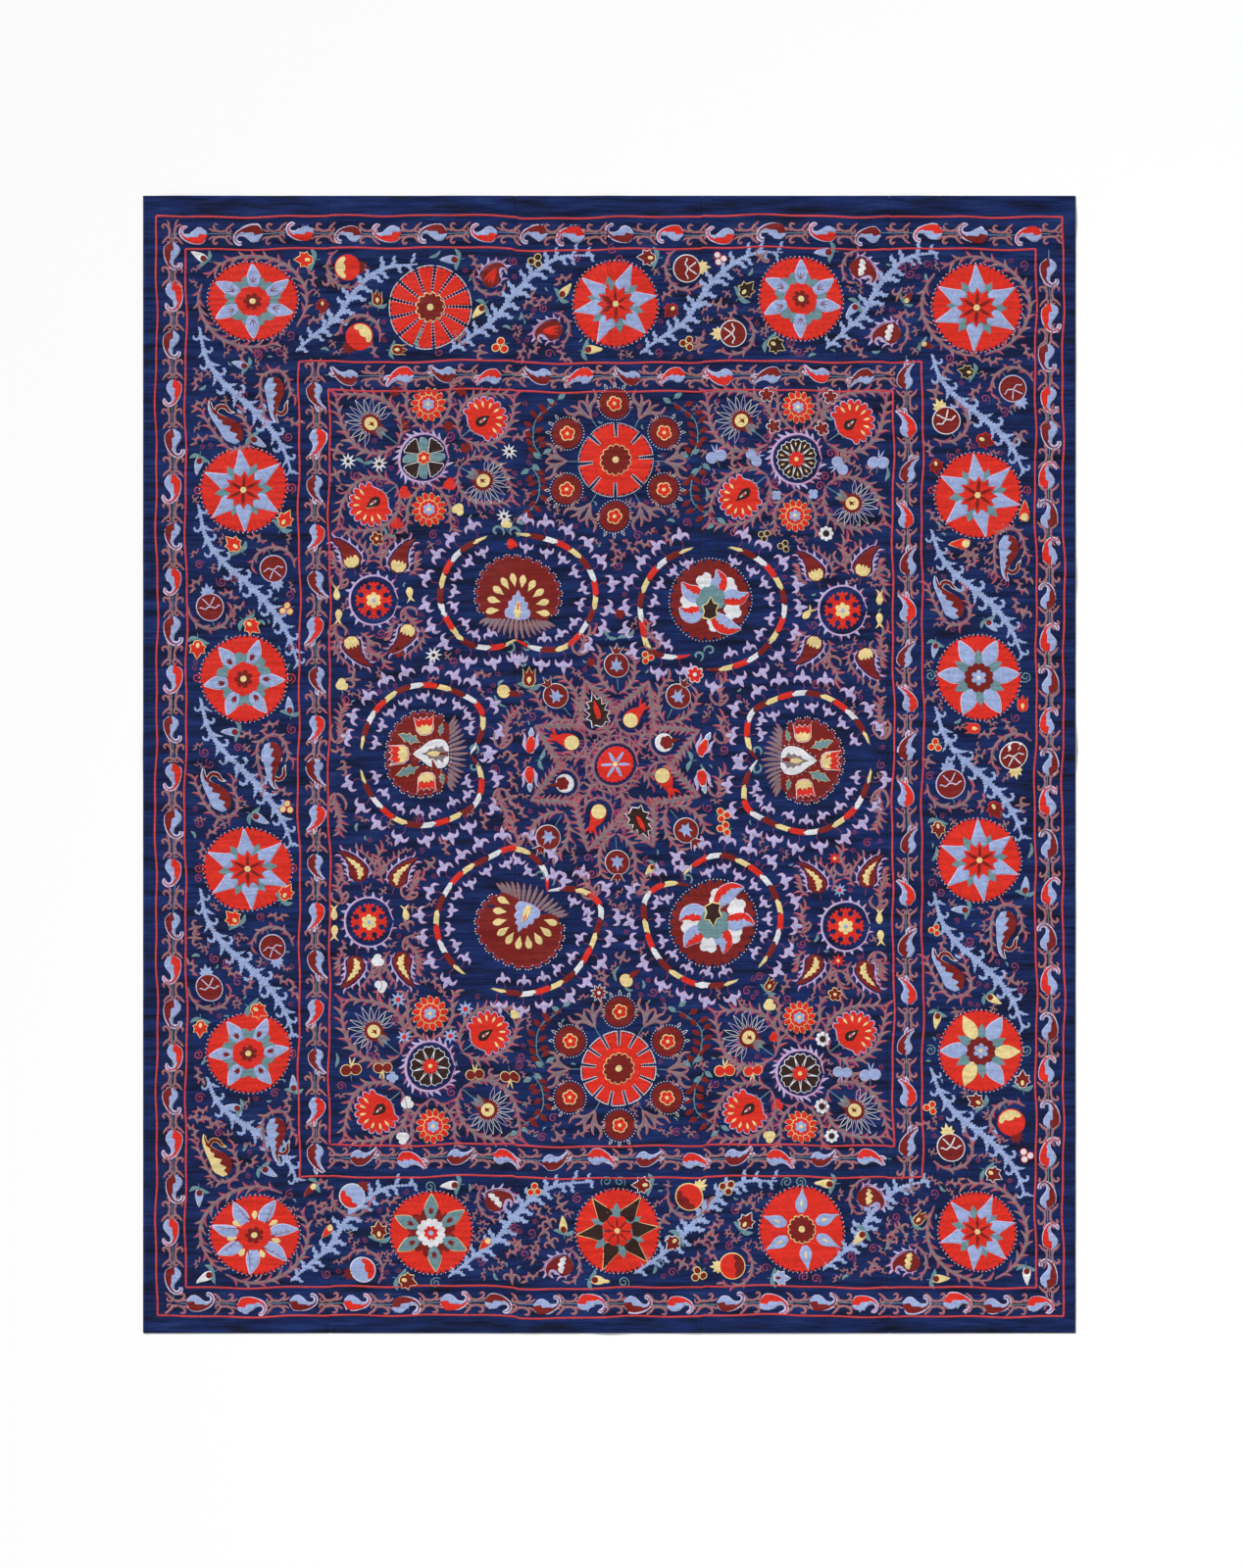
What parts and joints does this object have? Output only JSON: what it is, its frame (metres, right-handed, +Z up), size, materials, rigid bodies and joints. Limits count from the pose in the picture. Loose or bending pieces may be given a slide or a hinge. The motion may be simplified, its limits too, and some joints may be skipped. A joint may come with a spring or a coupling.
{
  "type": "suzani embroidered textile",
  "caption": "Large flat embroidered cotton hanging or bedcover of narrow loom widths sewn edge to edge, lying flat with soft folds and puckers.",
  "frame": {"origin": "middle of the underside, on the surface that the cloth lies on", "axes": "+Z up out of the face side, +Y along the length to the top edge, +X across the width"},
  "size_m": [2, 2.4402, 0.0049],
  "materials": {
    "navy_ground": "navy cotton sateen, soft sheen",
    "scarlet_thread": "scarlet silk chain stitch",
    "maroon_thread": "maroon silk chain stitch",
    "sky_thread": "light blue silk chain stitch",
    "lilac_thread": "lilac silk chain stitch",
    "sage_thread": "grey green silk chain stitch",
    "taupe_thread": "taupe silk chain stitch",
    "coral_thread": "coral silk chain stitch",
    "cream_thread": "cream silk chain stitch",
    "white_thread": "white silk chain stitch",
    "dark_thread": "near black brown silk chain stitch"
  },
  "bodies": {
    "root": {"panel_1": "navy_ground", "panel_2": "navy_ground", "panel_3": "navy_ground", "panel_4": "navy_ground", "panel_5": "navy_ground"}
  },
  "joints": []
}
